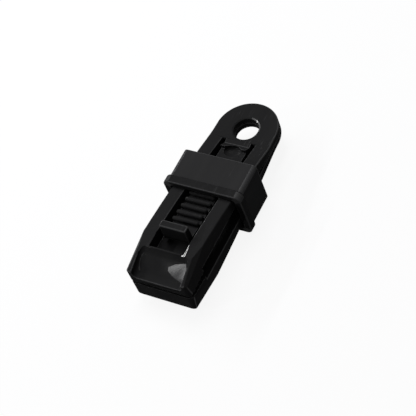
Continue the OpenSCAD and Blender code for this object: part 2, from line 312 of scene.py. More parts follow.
    collar_wall: length("Collar wall", "Thickness of the collar's top and bottom walls", 1.4)
    collar_side: length("Collar side", "Thickness of the collar's side walls", 1.9)
    collar_corner: length("Collar corner", "Outer corner radius of the collar", 1.6)
    bore_corner: length("Bore corner", "Inner corner radius of the collar", 0.9)
    flange_length: length("Flange length", "Length of the flange", 3.6)
    flange_out: length("Flange height", "Height that the flange stands out", 0.75)
    flange_swell: length("Flange swell", "Swell of the flange past its nominal height", 0.2)
    rib_width: length("Rib width", "Width of the catch rib under the collar's top wall", 10.0)
    rib_length: length("Rib length", "Length of the catch rib", 1.4)
    rib_inset: length("Rib inset", "Distance of the catch rib from the collar's front", 0.3)
    rib_clear: length("Rib clearance", "Clearance of the catch rib over the ridges", 0.15)


class TarpClipFinish(PropertyGroup):
    """Colours and surface of the moulded plastic."""

    body_colour: colour("Body colour", "Black of the arms and the tongue", 0.0165)
    collar_colour: colour("Collar colour", "Black of the collar", 0.0255)
    # The flange band's colour is darkened, keeping this share of it
    band_share: share("Flange band", "Share of the colour that the smoother flange keeps", 0.62)
    # The scuff grey also lightens marked edges and faces, partly as wear and partly as a painted
    # highlight
    scuff_and_highlight_colour: colour("Scuff colour", "Grey of the faint rub marks", 0.075)
    body_roughness: share("Body roughness", "Roughness of the arms and the tongue", 0.5)
    collar_roughness: share("Collar roughness", "Roughness of the collar", 0.55)
    gloss: share("Gloss", "Specular level of the plastic under its skin", 0.0)
    skin_gloss: share("Skin gloss", "Weight of the faint shine on flat faces", 0.01)
    worn_gloss: share("Worn gloss", "Weight of the shine on the body's worn edges", 0.13)
    rim_gloss: share("Rim gloss", "Weight of the shine on the collar's rims", 0.06)
    shine_roughness: share("Shine roughness", "Roughness of the shine", 0.2)
    grain: length("Grain", "Size of the moulded grain", 0.3)
    grain_depth: length("Grain depth", "Depth of the moulded grain", 0.012)


class TarpClipStage(PropertyGroup):
    """Camera, light and floor."""

    azimuth: angle("Azimuth", "Turn of the camera round the clip", 46.204)
    elevation: angle("Elevation", "Height of the camera above the horizon", 50.628)
    roll: angle("Roll", "Turn of the picture", -24.315)
    distance: length("Distance", "Distance from the camera to its aim", 492.18)
    aim: vector(
        "Aim", "Point that the camera looks at", (0.8 * MM, -35.83 * MM, 0.0), "XYZ", "LENGTH"
    )
    lens: FloatProperty(
        name="Lens", description="Focal length in millimetres", default=116.3, unit="CAMERA"
    )
    floor_colour: colour("Floor colour", "Pale colour of the floor", 0.92)
    floor_bounce: colour("Floor bounce", "Colour that the floor throws back onto the clip", 0.2)
    floor_radius: length("Floor radius", "Radius of the round floor", 3000.0)
    floor_glow: share("Floor glow", "Share of the floor that shows as plain white", 0.9)
    room_light: share("Room light", "Strength of the even light from all round", 0.12)
    room_seen: share("Room seen", "How bright the room shows, as the far floor does", 0.913)
    key_light: power("Key light", "Power of the lamp above", 2.0)
    key_from: vector(
        "Key direction", "Direction to the lamp above", (-0.171, 0.266, 0.949), "DIRECTION"
    )
    side_light: power("Side light", "Power of the strip lamp at the left", 1.8)
    side_from: vector(
        "Side direction", "Direction to the strip lamp", (-0.76, 0.12, 0.62), "DIRECTION"
    )
    front_light: power("Front light", "Power of the small lamp at the front", 0.5)
    front_from: vector(
        "Front direction", "Direction to the small lamp", (-0.547, -0.593, 0.591), "DIRECTION"
    )


# Node maths

class Socket:
    """A node's output, with operators that add Math nodes to its tree."""

    def __init__(self, shop, output):
        self.shop = shop
        self.output = output

    def math(self, operation, *others, clamp=False):
        settings = {"operation": operation, "use_clamp": clamp}
        return self.shop.node("ShaderNodeMath", settings, dict(enumerate(others)))[0]

    def __add__(self, other):
        return self.math("ADD", self, other)

    def __sub__(self, other):
        return self.math("SUBTRACT", self, other)

    def __rsub__(self, other):
        return self.math("SUBTRACT", other, self)

    def __mul__(self, other):
        return self.math("MULTIPLY", self, other)

    def __truediv__(self, other):
        return self.math("DIVIDE", self, other)

    def __gt__(self, other):
        return self.math("GREATER_THAN", self, other)

    __radd__ = __add__
    __rmul__ = __mul__

    def clamped(self):
        return self.math("ADD", self, 0.0, clamp=True)


class Made:
    """A made node, whose outputs are read by name or number."""

    def __init__(self, shop, made):
        self.shop = shop
        self.made = made

    def __getitem__(self, key):
        return Socket(self.shop, self.made.outputs[key])


class Workshop:
    """Adds nodes to one tree."""

    def __init__(self, tree):
        self.tree = tree

    def node(self, kind, settings=None, sockets=None):
        """Adds a node, sets its settings first and then its sockets' values or links."""
        made = self.tree.nodes.new(kind)
        for key, value in (settings or {}).items():
            setattr(made, key, value)
        for key, value in (sockets or {}).items():
            if isinstance(value, Socket):
                self.link(value, made, key)
            else:
                made.inputs[key].default_value = value
        return Made(self, made)

    def link(self, value, made, key):
        """Links a socket to an input of a node."""
        self.tree.links.new(value.output, made.inputs[key])


# Finish

def opaque(tint, brightness=1.0):
    """The tint as a shader takes it, darker or lighter."""
    return tuple(c * brightness for c in tint) + (1.0,)


def noise(shop, place, scale, detail=2.0, roughness=0.5):
    """Even noise from 0 to 1 on a place, with a feature size of one over the scale."""
    sockets = {"Vector": place, "Scale": scale, "Detail": detail, "Roughness": roughness}
    return shop.node("ShaderNodeTexNoise", None, sockets)["Fac"]


def stretched(shop, place, along):
    """The place with its features drawn out along Y."""
    sockets = {"Vector": place, "Scale": (1.0, 1.0 / along, 1.0)}
    return shop.node("ShaderNodeMapping", None, sockets)["Vector"]


def steps(shop, value, low, high):
    """A smooth step of the value from 0 at low to 1 at high."""
    sockets = {"Value": value, "From Min": low, "From Max": high}
    return shop.node("ShaderNodeMapRange", {"interpolation_type": "SMOOTHSTEP"}, sockets)["Result"]


def mixed(shop, mask, first, second):
    """Colour mix from first to second by the mask."""
    sockets = {"Factor": mask, 6: first, 7: second}
    return shop.node("ShaderNodeMix", {"data_type": "RGBA"}, sockets)[2]


def moulded_plastic(name, base, rough, worn, finish):
    """Black moulded plastic with fine grain.

    Flow marks run along the arms and rub marks are faint. Marked edges and faces are lighter,
    partly as wear and partly as a painted highlight, and they shine.
    """
    material = bpy.data.materials.new(name)
    material.use_nodes = True
    shop = Workshop(material.node_tree)
    place = shop.node("ShaderNodeTexCoord")["Object"]
    # Marked edges and faces: lighter colour, partly wear and partly a painted highlight, and more
    # shine
    edge = shop.node("ShaderNodeAttribute", {"attribute_name": "worn_edge"})["Fac"]
    band = shop.node("ShaderNodeAttribute", {"attribute_name": "smooth_band"})["Fac"]

    grain = noise(shop, place, 1.0 / finish.grain, detail=3.0, roughness=0.6)
    flow = noise(shop, stretched(shop, place, FLOW_STRETCH), FLOW_SCALE, detail=3.0)
    streak = noise(shop, stretched(shop, place, STREAK_STRETCH), STREAK_SCALE)
    patch = noise(shop, place, PATCH_SCALE, detail=4.0)
    rub = steps(shop, streak, *STREAK_LEVELS) * steps(shop, patch, *PATCH_LEVELS)
    dust = steps(shop, noise(shop, place, DUST_SCALE, detail=1.0), *DUST_LEVELS)

    tone = flow * FLOW_TONE + grain * (1.0 - FLOW_TONE)
    plain = mixed(shop, tone, opaque(base, DARKEST), opaque(base, LIGHTEST))
    # The flange band is darker in colour
    plain = mixed(shop, band * (1.0 - finish.band_share), plain, BLACK)
    # Rub marks and dust are scuffs; the lighter marked edges are partly wear and partly a painted
    # highlight
    marks = rub * RUB_COLOUR + dust * DUST_COLOUR + edge.clamped() * grain * EDGE_SCUFF_AND_HIGHLIGHT
    rougher = (flow - NOISE_MIDDLE) * FLOW_ROUGH + (grain - NOISE_MIDDLE) * GRAIN_ROUGH
    rougher = rougher + rub * RUB_ROUGH + dust * DUST_ROUGH
    shine = edge * (worn - finish.skin_gloss) + rub * RUB_SHINE + flow * FLOW_SHINE
    height = grain + streak * STREAK_HEIGHT
    relief = {"Strength": BUMP_STRENGTH, "Distance": finish.grain_depth, "Height": height}

    shader = material.node_tree.nodes["Principled BSDF"]
    varying = {
        "Base Color": mixed(shop, marks.clamped(), plain, opaque(finish.scuff_and_highlight_colour)),
        "Roughness": (rougher + rough).clamped(),
        "Coat Weight": (shine + finish.skin_gloss).clamped(),
        "Normal": shop.node("ShaderNodeBump", None, relief)["Normal"],
    }
    for key, value in varying.items():
        shop.link(value, shader, key)
    shader.inputs["Specular IOR Level"].default_value = finish.gloss
    shader.inputs["Coat Roughness"].default_value = finish.shine_roughness
    return material


def plastic(part):
    """The plastic of the clip's body or of its collar, made once."""
    finish = bpy.context.scene.tarp_clip_finish
    name = "clip_" + part + "_plastic"
    base, rough = getattr(finish, part + "_colour"), getattr(finish, part + "_roughness")
    worn = finish.worn_gloss if part == "body" else finish.rim_gloss
    made = bpy.data.materials.get(name)
    return made or moulded_plastic(name, base, rough, worn, finish)


# Mesh helpers

def new_piece(name, mesh, material):
    """A new object at the origin with this mesh and material."""
    piece = bpy.data.objects.new(name, mesh)
    bpy.context.scene.collection.objects.link(piece)
    mesh.materials.clear()
    mesh.materials.append(material)
    return piece


def bake_modifiers(piece):
    """Turns the piece's modifiers into a plain mesh."""
    depsgraph = bpy.context.evaluated_depsgraph_get()
    mesh = bpy.data.meshes.new_from_object(piece.evaluated_get(depsgraph))
    mesh.name = piece.name
    piece.modifiers.clear()
    piece.data = mesh
    return piece


def finished_mesh(shape, name):
    """The bmesh as a mesh with its faces pointing outwards."""
    bmesh.ops.recalc_face_normals(shape, faces=shape.faces)
    mesh = bpy.data.meshes.new(name)
    shape.to_mesh(mesh)
    shape.free()
    return mesh


def bridge(shape, first, second):
    """Faces that close the gap between two rings of points."""
    ends = zip(first, first[1:] + first[:1], second, second[1:] + second[:1])
    return [shape.faces.new((b, a, c, d)) for a, b, c, d in ends]


PLACES = {
    "X": lambda u, v, t: (t, u, v),
    "Y": lambda u, v, t: (u, t, v),
    "Z": lambda u, v, t: (u, v, t),
}


def drawn_out(name, outline, axis, low, high):
    """A closed mesh of an outline drawn out along an axis from low to high."""
    place = PLACES[axis]
    shape = bmesh.new()
    first = [shape.verts.new(place(u, v, low)) for u, v in outline]
    second = [shape.verts.new(place(u, v, high)) for u, v in outline]
    shape.faces.new(first)
    shape.faces.new(second[::-1])
    bridge(shape, first, second)
    return finished_mesh(shape, name)


def arc(centre, radius, start, turn, parts):
    """Points of an arc, both ends included, from a start angle over a turn."""
    angles = [start + turn * i / parts for i in range(parts + 1)]
    return [
        (centre[0] + radius * math.cos(a), centre[1] + radius * math.sin(a)) for a in angles
    ]


def circle(centre, radius, parts):
    """Points of a full circle."""
    return arc(centre, radius, 0.0, math.tau, parts)[:-1]


def box_outline(low, high):
    """The four corners of a rectangle."""
    return [(low[0], low[1]), (high[0], low[1]), (high[0], high[1]), (low[0], high[1])]


def slab(name, place, facing, reach, low, high):
    """A wide block between two heights over the plane through a place."""
    block = drawn_out(name, box_outline((-reach, -reach), (reach, reach)), "Z", low, high)
    turn = facing.to_track_quat("Z", "Y").to_matrix().to_4x4()
    block.transform(Matrix.Translation(place) @ turn)
    return block


def put_in_order(piece):
    """Gives the points and faces a fixed order, which a cut changes from run to run."""
    mesh = piece.data
    points = [vert.co[:] for vert in mesh.vertices]
    order = sorted(range(len(points)), key=lambda i: points[i])
    rank = {old: new for new, old in enumerate(order)}
    faces = []
    for face in mesh.polygons:
        corners = [rank[i] for i in face.vertices]
        first = corners.index(min(corners))
        faces.append(corners[first:] + corners[:first])
    ordered = bpy.data.meshes.new(piece.name)
    ordered.from_pydata([points[i] for i in order], [], sorted(faces))
    ordered.materials.append(mesh.materials[0])
    piece.data = ordered
    bpy.data.meshes.remove(mesh)


def combine(piece, steps_taken):
    """Runs (operation, mesh) steps on the piece and cleans the result."""
    for operation, mesh in steps_taken:
        tool = bpy.data.objects.new("shaping_tool", mesh)
        bpy.context.scene.collection.objects.link(tool)
        step = piece.modifiers.new("Shaping", "BOOLEAN")
        step.operation = operation
        step.solver = "EXACT"
        step.object = tool
        bake_modifiers(piece)
        bpy.data.objects.remove(tool)
        bpy.data.meshes.remove(mesh)
        put_in_order(piece)
    shape = bmesh.new()
    shape.from_mesh(piece.data)
    bmesh.ops.remove_doubles(shape, verts=shape.verts, dist=MERGE_GAP)
    bmesh.ops.dissolve_limit(shape, angle_limit=FLAT_TURN, verts=shape.verts, edges=shape.edges)
    bmesh.ops.dissolve_degenerate(shape, dist=MERGE_GAP / 2, edges=shape.edges)
    if not shape.faces or any(len(edge.link_faces) != 2 for edge in shape.edges):
        raise RuntimeError(piece.name + " isn't a closed shape")
    shape.to_mesh(piece.data)
    shape.free()
    return piece


def keep_flats(piece, sharp=False):
    """Adds the modifier that keeps flat faces flat between rounded edges."""
    piece.modifiers.new("Flat faces", "WEIGHTED_NORMAL").keep_sharp = sharp


def mould(piece, largest, radius_of=None, highlight_marks=None):
    """Rounds the sharp edges and marks the rounded faces, which the plastic makes lighter, partly
    as wear and partly as a painted highlight.

    The radius_of function gives an edge's radius, which is the largest without it.
    An edge whose radius is zero stays crisp.
    The highlight_marks function gives a face's mark of wear and painted highlight.
    """
    shape = bmesh.new()
    shape.from_mesh(piece.data)
    weights = shape.edges.layers.float.new("bevel_weight_edge")
    for edge in shape.edges:
        turn = edge.calc_face_angle(0.0)
        radius = radius_of(edge) if radius_of else largest
        if turn > SHARP_TURN and radius > 0.0:
            edge[weights] = radius / largest
        elif turn > CRISP_TURN and radius == 0.0:
            edge.smooth = False
    for face in shape.faces:
        face.smooth = True
        face.material_index = 0
    shape.to_mesh(piece.data)
    shape.free()
    piece.data.materials.append(piece.data.materials[0])
    bevel = piece.modifiers.new("Moulded radius", "BEVEL")
    bevel.width = largest
    bevel.segments = RADIUS_SEGMENTS
    bevel.limit_method = "WEIGHT"
    bevel.use_clamp_overlap = False
    bevel.miter_outer = "MITER_ARC"
    bevel.material = 1
    keep_flats(piece, sharp=True)
    bake_modifiers(piece)
    store_wear_and_highlight(piece, highlight_marks)


def mark_faces(mesh, name, values):
    """Gives the mesh an attribute with one value for each face."""
    mesh.attributes.new(name, "FLOAT", "FACE").data.foreach_set("value", values)


def store_wear_and_highlight(piece, highlight_marks=None):
    """Turns the second material index into an attribute of faces that are lighter, partly as wear
    and partly as a painted highlight.
    """
    mesh = piece.data
    worn = [float(face.material_index) for face in mesh.polygons]
    if highlight_marks:
        marks = [highlight_marks(face) for face in mesh.polygons]
        pairs = zip(worn, marks)
        worn = [0.0 if mark == NO_HIGHLIGHT else max(edge, mark) for edge, mark in pairs]
    mark_faces(mesh, "worn_edge", worn)
    mesh.polygons.foreach_set("material_index", [0] * len(worn))
    while len(mesh.materials) > 1:
        mesh.materials.pop()


# Arms

def rail_z(sizes, y):
    """Height of the rails' outer face at a station, which is a number or a socket."""
    part = (-sizes.ramp_from - y) / sizes.arch_length
    bow = 4 * sizes.arch_bow * part * (1 - part)
    return sizes.eyelet_thickness + sizes.arch_rise * part + bow


def back_line(sizes):
    """Points where the eyelet's flat face runs smoothly into the arched back."""
    end = -sizes.arch_blend - sizes.ramp_from
    first = Vector((sizes.arch_blend - sizes.ramp_from, sizes.eyelet_thickness))
    corner = Vector((-sizes.ramp_from, sizes.eyelet_thickness))
    last = Vector((end, rail_z(sizes, end)))
    shares = [i / BLEND_POINTS for i in range(BLEND_POINTS + 1)]
    return [
        tuple(first * (1 - t) ** 2 + corner * 2 * t * (1 - t) + last * t ** 2) for t in shares
    ]


def back_z(sizes, y):
    """Height of the upper arm's face at a station inside that run."""
    line = back_line(sizes)
    for (y0, z0), (y1, z1) in zip(line, line[1:]):
        if y1 <= y <= y0:
            return z0 + (z1 - z0) * (y0 - y) / (y0 - y1)
    raise ValueError("the station is outside the run")


def arch_line(sizes, start, end, depth):
    """Points along the arched back between two stations, a depth below its face."""
    line = [start + (end - start) * i / ARCH_POINTS for i in range(ARCH_POINTS + 1)]
    return [(y, rail_z(sizes, y) - depth) for y in line]


class Stations:
    """Stations along the arms and heights of their faces."""

    def __init__(self, sizes):
        self.ramp = -sizes.ramp_from
        self.root = -(sizes.hole_width / 2 + sizes.root_land)
        self.shoulder = self.ramp - sizes.arch_length
        self.crest = self.shoulder - sizes.crown_length
        self.tip = self.crest - sizes.nose_length
        self.pad = self.tip + sizes.pad_length
        self.vee = -sizes.vee_from
        self.spread = self.vee - sizes.vee_length
        self.shoulder_z = sizes.eyelet_thickness + sizes.arch_rise
        self.crest_z = self.shoulder_z + sizes.crown_rise
        self.tip_z = self.crest_z - sizes.nose_fall
        self.lower_tip_z = self.shoulder_z - sizes.lower_fall
        self.mouth_z = sizes.mouth_height / 2
        self.shelf_z = self.mouth_z + sizes.shelf_thickness


def half_width(sizes, z):
    """Half width of an arm at a height, with its draft."""
    return sizes.arm_width / 2 - z * math.tan(sizes.side_draft)


def pad_line(sizes, at, raised):
    """Zigzag of a tooth pad from the tip inwards."""
    flanks = 2 * sizes.tooth_count
    points = []
    for i in range(flanks + 1):
        gap = sizes.tip_gap + (sizes.inner_gap - sizes.tip_gap) * i / flanks
        low = sizes.tooth_height * ((i + raised) % 2)
        y = at.tip + sizes.pad_length * i / flanks
        points.append((y, (gap + sizes.tooth_height) / 2 - low))
    return points


def arm_outline(sizes, at, nose, raised):
    """Side outline of an arm above the parting plane."""
    far = sizes.eyelet_width / 2 + OVERRUN
    outline = [(far, sizes.part_gap / 2), (far, sizes.eyelet_thickness)]
    outline += back_line(sizes)
    outline += arch_line(sizes, at.ramp - sizes.arch_blend, at.shoulder, 0.0)[1:]
    outline += nose + pad_line(sizes, at, raised)
    return outline + [(at.pad, at.mouth_z), (at.spread, at.mouth_z), (at.vee, sizes.vee_gap / 2)]


def arm_plan(sizes, at):
    """Plan of an arm: round eyelet end, slight flare, straight sides, round tip corners."""
    half, corner, quarter = sizes.arm_width / 2, sizes.nose_corner, math.pi / 2
    y = at.tip + corner
    outline = arc((0.0, 0.0), sizes.eyelet_width / 2, 0.0, math.pi, ROUND_POINTS)
    outline.append((-half, at.vee))
    outline += arc((corner - half, y), corner, math.pi, quarter, CORNER_POINTS)
    outline += arc((half - corner, y), corner, -quarter, quarter, CORNER_POINTS)
    outline.append((half, at.vee))
    return outline


def arm_blank(name, sizes, at, nose, raised):
    """Steps that make a solid arm above the parting plane, after its side outline."""
    top = at.crest_z + OVERRUN
    outline = arm_outline(sizes, at, nose, raised)
    side = drawn_out(name, outline, "X", -sizes.arm_width, sizes.arm_width)
    ends = [(half_width(sizes, z), z) for z in (0.0, top)]
    section = ends + [(-x, z) for x, z in reversed(ends)]
    section = drawn_out("section", section, "Y", at.tip - OVERRUN, sizes.eyelet_width)
    plan = drawn_out("plan", arm_plan(sizes, at), "Z", -OVERRUN, top)
    return side, [("INTERSECT", section), ("INTERSECT", plan)]


def hole_cutter(sizes):
    """Mesh that cuts the cord hole and the shallow bevel round its mouth."""
    bore, top = sizes.hole_width / 2, sizes.eyelet_thickness
    wide, fall = sizes.mouth_width, math.tan(sizes.mouth_lean)
    levels = (
        (bore, -OVERRUN),
        (bore, top - wide * fall),
        (bore + wide + OVERRUN, top + OVERRUN * fall),
    )
    shape = bmesh.new()
    rings = []
    for radius, z in levels:
        around = circle((0.0, 0.0), radius, ROUND_POINTS)
        rings.append([shape.verts.new((x, y, z)) for x, y in around])
    shape.faces.new(rings[0])
    shape.faces.new(rings[-1])
    for lower, upper in zip(rings, rings[1:]):
        bridge(shape, upper, lower)
    return finished_mesh(shape, "hole")


def film_outline(inner, outer, half):
    """A strip of a ring at the far end of the eyelet, a half arc to either side."""
    points = arc((0.0, 0.0), inner, math.pi / 2 - half, 2 * half, HINGE_POINTS)
    return points + arc((0.0, 0.0), outer, math.pi / 2 + half, -2 * half, HINGE_POINTS)


def hole_and_seat(sizes, room):
    """Steps that cut the cord hole and the film hinge's seat."""
    rim = sizes.eyelet_width / 2
    half = sizes.web_arc / 2 + math.atan(room / rim)
    seat = film_outline(rim - sizes.web_thickness - room, rim + OVERRUN, half)
    high = sizes.web_height / 2 + room
    return [
        ("DIFFERENCE", hole_cutter(sizes)),
        ("DIFFERENCE", drawn_out("seat", seat, "Z", -high, high)),
    ]


def dish_centre(sizes, at):
    """Centre, as (y, z), of the dish's round floor, which meets the crest and the lip."""
    chord = Vector((at.crest - at.tip, at.crest_z - sizes.dish_lip))
    rise = math.sqrt(sizes.dish_radius ** 2 - chord.length_squared / 4)
    middle = Vector(((at.crest + at.tip) / 2, (at.crest_z + sizes.dish_lip) / 2))
    return middle + Vector((-chord.y, chord.x)) * rise / chord.length


def dish_wheel(sizes, at):
    """Wheel whose rim scoops the finger dish through the crest and the lip."""
    centre = dish_centre(sizes, at)
    half, flank, quarter = sizes.dish_width / 2, sizes.dish_flank, math.pi / 2
    hub, flat = sizes.dish_radius - flank, half - flank
    profile = [(0.0, -half)]
    profile += arc((hub, -flat), flank, -quarter, quarter, CORNER_POINTS)
    profile += arc((hub, flat), flank, 0.0, quarter, CORNER_POINTS)
    profile.append((0.0, half))
    shape = bmesh.new()
    verts = [shape.verts.new((x, centre.x, centre.y + r)) for r, x in profile]
    edges = [shape.edges.new(pair) for pair in zip(verts, verts[1:])]
    bmesh.ops.spin(
        shape, geom=verts + edges, cent=(0.0, centre.x, centre.y), axis=(1.0, 0.0, 0.0),
        angle=math.tau, steps=WHEEL_POINTS, use_merge=True,
    )
    bmesh.ops.remove_doubles(shape, verts=shape.verts, dist=SEAM_GAP)
    return finished_mesh(shape, "dish")


def corner_plane(sizes, at, side):
    """A point and the unit normal of the flat corner on one side of the dish.

    It touches the round floor at the corner's tip and leans a little to the middle.
    """
    centre = dish_centre(sizes, at)
    y = at.crest - sizes.corner_along
    z = centre.y - math.sqrt(sizes.dish_radius ** 2 - (y - centre.x) ** 2)
    slope = (y - centre.x) / (centre.y - z)
    facing = Vector((-math.tan(sizes.corner_lean) * side, -slope, 1.0)).normalized()
    return Vector((sizes.corner_across * side, y, z)), facing


def dish_cutter(sizes, at):
    """Mesh that cuts the finger dish and leaves a flat corner at either side of its back."""
    wheel = new_piece("dish_cutter", dish_wheel(sizes, at), plastic("body"))
    reach = sizes.arch_length
    corners = []
    for side in (1, -1):
        block = slab("corner", *corner_plane(sizes, at, side), reach, -reach, 0.0)
        corners.append(("DIFFERENCE", block))
    combine(wheel, corners)
    cutter = wheel.data.copy()
    bpy.data.objects.remove(wheel)
    return cutter


def bevel_plane(sizes, at, side):
    """A point and the unit normal of the bevel on one long edge of the upper nose."""
    start = Vector((half_width(sizes, at.shoulder_z), at.shoulder, at.shoulder_z))
    inner = Vector((half_width(sizes, at.crest_z) - sizes.bevel_width, at.crest, at.crest_z))
    low = at.crest_z - sizes.bevel_height
    outer = Vector((half_width(sizes, low), at.crest, low))
    facing = (inner - start).normalized().cross((outer - start).normalized()).normalized()
    start.x *= side
    facing.x *= side
    return start, facing


def nose_bevel(sizes, at, side):
    """Block whose lower face bevels one long edge of the upper nose."""
    reach = sizes.arch_length
    return slab("bevel", *bevel_plane(sizes, at, side), reach, 0.0, reach)


def crown_slopes(sizes):
    """Slopes across and along of the eased edges on the crown, which run out at the shoulder."""
    across = math.tan(sizes.crown_lean)
    return across, (sizes.crown_ease * across - sizes.crown_rise) / sizes.crown_length


def crown_facing(sizes, side):
    """Unit normal of the eased edge on one side of the crown."""
    across, along = crown_slopes(sizes)
    return Vector((-across * side, -along, 1.0)).normalized()


def crown_edge(sizes, at, side):
    """Block that eases one of the crown's edges along the window."""
    edge = sizes.window_width / 2
    across, along = crown_slopes(sizes)
    inner, outer = edge - OVERRUN, edge + 3 * OVERRUN
    outline = [
        (inner * side, at.shoulder_z - OVERRUN * across),
        (outer * side, at.shoulder_z + 3 * OVERRUN * across),
        (inner * side, at.crest_z + 2 * OVERRUN),
    ]
    block = drawn_out("ease", outline, "Y", at.crest - OVERRUN, at.shoulder)
    tilt = Matrix.Identity(4)
    tilt[2][1], tilt[2][3] = along, -along * at.shoulder
    block.transform(tilt)
    return block


def upper_arm_mesh(sizes, at):
    """The upper arm's side outline and the steps that shape it."""
    nose = [(at.crest, at.crest_z), (at.tip, at.tip_z)]
    side, taken = arm_blank("upper_arm_moulding", sizes, at, nose, 0)
    taken += hole_and_seat(sizes, sizes.upper_room)
    half = sizes.window_width / 2
    window = at.crest + sizes.window_land
    top = at.crest_z + OVERRUN
    open_top = box_outline((-half, window), (half, at.root))
    taken.append(("DIFFERENCE", drawn_out("window", open_top, "Z", at.shelf_z, top)))
    open_through = box_outline((-half, at.crest + sizes.shelf_length), (half, at.root))
    taken.append(("DIFFERENCE", drawn_out("window", open_through, "Z", -OVERRUN, top)))
    taken.append(("DIFFERENCE", dish_cutter(sizes, at)))
    taken += [("DIFFERENCE", nose_bevel(sizes, at, side)) for side in (1, -1)]
    taken += [("DIFFERENCE", crown_edge(sizes, at, side)) for side in (1, -1)]
    return side, taken


def picked_highlights(sizes, at):
    """A function that gives a face's mark: a few faces get a painted highlight and more shine, and
    the rails' outer edges get neither.
    """
    places = (
        (corner_plane(sizes, at, 1)[1], DISH_HIGHLIGHT),
        (bevel_plane(sizes, at, -1)[1], BEVEL_HIGHLIGHT),
        (crown_facing(sizes, 1), LINE_HIGHLIGHT),
    )
    mouth = sizes.hole_width / 2 + sizes.mouth_width
    mouth_up = math.cos(sizes.mouth_lean)
    half_window = sizes.window_width / 2
    under_collar = (COLLAR_LOW.y + COLLAR_HIGH.y) / 2

    def highlight_marks(face):
        where, normal = face.center, face.normal
        flat = max(worn * (normal.dot(facing) > FACING_MATCH) for facing, worn in places)
        # Along the window its right edge gets a painted highlight and more shine, and the rails'
        # outer edges get no mark
        rounded = ROUNDED_UP[0] < normal.z < ROUNDED_UP[1]
        if flat == 0.0 and rounded and at.crest < where.y < under_collar:
            beside = abs(where.x - half_window) < sizes.rail_radius
            if where.x > 0.0 and normal.x < -WINDOW_IN and beside:
                return LINE_HIGHLIGHT
            if abs(where.x) > half_window + OVERRUN:
                return NO_HIGHLIGHT
        # One quarter of the hole's mouth gets a painted highlight and more shine
        at_mouth = where.xy.length < mouth and abs(normal.z - mouth_up) < MOUTH_MATCH
        return LINE_HIGHLIGHT if at_mouth and min(where.xy) > 0.0 else flat

    return highlight_marks


def lower_arm_mesh(sizes, at):
    """The lower arm's side outline and the steps that shape it, drawn as on the upper side."""
    side, taken = arm_blank("lower_arm_moulding", sizes, at, [(at.tip, at.lower_tip_z)], 1)
    taken += hole_and_seat(sizes, sizes.lower_room)
    front = at.pad + sizes.trough_land
    back = at.vee - sizes.trough_land
    fall = sizes.lower_fall / (at.shoulder - at.tip)
    front_z = at.shoulder_z - (at.shoulder - front) * fall - sizes.skin
    outline = [(back, -OVERRUN)] + arch_line(sizes, back, at.shoulder, sizes.skin)
    outline += [(front, front_z), (front, -OVERRUN)]
    half = sizes.window_width / 2
    taken.append(("DIFFERENCE", drawn_out("trough", outline, "X", -half, half)))
    return side, taken


def arm_edge_radius(sizes, at):
    """A function that gives the moulded radius of an arm's edge, drawn as on the upper side."""
    half_window = sizes.window_width / 2
    crisp = [bevel_plane(sizes, at, side)[1] for side in (1, -1)]
    crisp += [crown_facing(sizes, side) for side in (1, -1)]
    past_hole = sizes.hole_width / 2 + OVERRUN
    past_window = half_window + OVERRUN

    def radius_of(edge):
        normals = [face.normal for face in edge.link_faces]
        if any(normal.dot(facing) > FACING_MATCH for normal in normals for facing in crisp):
            return 0.0
        middle = (edge.verts[0].co + edge.verts[1].co) / 2
        x, y, z = abs(middle.x), middle.y, abs(middle.z)
        across = math.hypot(x, y)
        ups = [abs(normal.z) for normal in normals]
        # The tongue grows out of the window's back edge
        if abs(y - at.root) < MERGE_GAP and x < half_window - MERGE_GAP:
            return 0.0
        # Teeth
        if y < at.pad + NEAR and z < sizes.inner_gap / 2 + sizes.tooth_height:
            return sizes.fine_radius
        # The hole's mouth has its own bevel
        if across < past_hole:
            return 0.0 if z > OVERRUN else sizes.edge_radius
        # The crest stays crisp
        if z > at.crest_z - OVERRUN / 2 and abs(y - at.crest) < OVERRUN:
            return 0.0
        # Seat of the film hinge
        if across < sizes.eyelet_width / 2 - NEAR and y > past_hole:
            return sizes.fine_radius
        # Corners of the nose and the dish
        if y < at.shoulder and NOSE_UP[0] < min(ups) < NOSE_UP[1]:
            return sizes.fine_radius
        # Outer edges of the rails and the eyelet
        top = max(ups) > LEVEL_UP and z > sizes.eyelet_thickness - MERGE_GAP
        if top and across > past_window and (x > past_window or y > 0.0):
            return sizes.rail_radius
        return sizes.edge_radius

    return radius_of


# Tongue

def stop_y(sizes):
    """Station of the stop's edge."""
    return TONGUE_HIGH.y - sizes.stop_from_root


def floor_z(sizes, y):
    """Height of the tongue's straight floor at a station."""
    stop, end = stop_y(sizes), TONGUE_LOW.y
    start_z = sizes.eyelet_thickness
    end_z = rail_z(sizes, end) - sizes.end_drop
    return start_z + (end_z - start_z) * (stop - y) / (stop - end)


def plate_outline(sizes):
    """Side outline of the tongue's plate, whose root runs a little way into the arm."""
    root, stop, end = TONGUE_HIGH.y, stop_y(sizes), TONGUE_LOW.y
    face, thick = sizes.eyelet_thickness, sizes.tongue_thickness
    sunk = root + sizes.root_sink
    return [
        (sunk, face - sizes.root_thickness + sizes.fine_radius),
        (sunk, back_z(sizes, sunk) - sizes.fine_radius),
        (root, back_z(sizes, root)),
        (stop, face),
        (end, floor_z(sizes, end)),
        (end, floor_z(sizes, end) - thick),
        (stop, face - thick),
        (root, face - sizes.root_thickness),
    ]


def plate_half(sizes):
    """Half width of the tongue's plate."""
    return TONGUE_HIGH.x - sizes.slot_ease


def hollow_place(sizes):
    """Middle and half sizes of the hollow in front of the stop."""
    y = stop_y(sizes) - sizes.hollow_back
    size = (sizes.hollow_across, sizes.hollow_along, sizes.hollow_depth)
    return (0.0, y, floor_z(sizes, y)), size


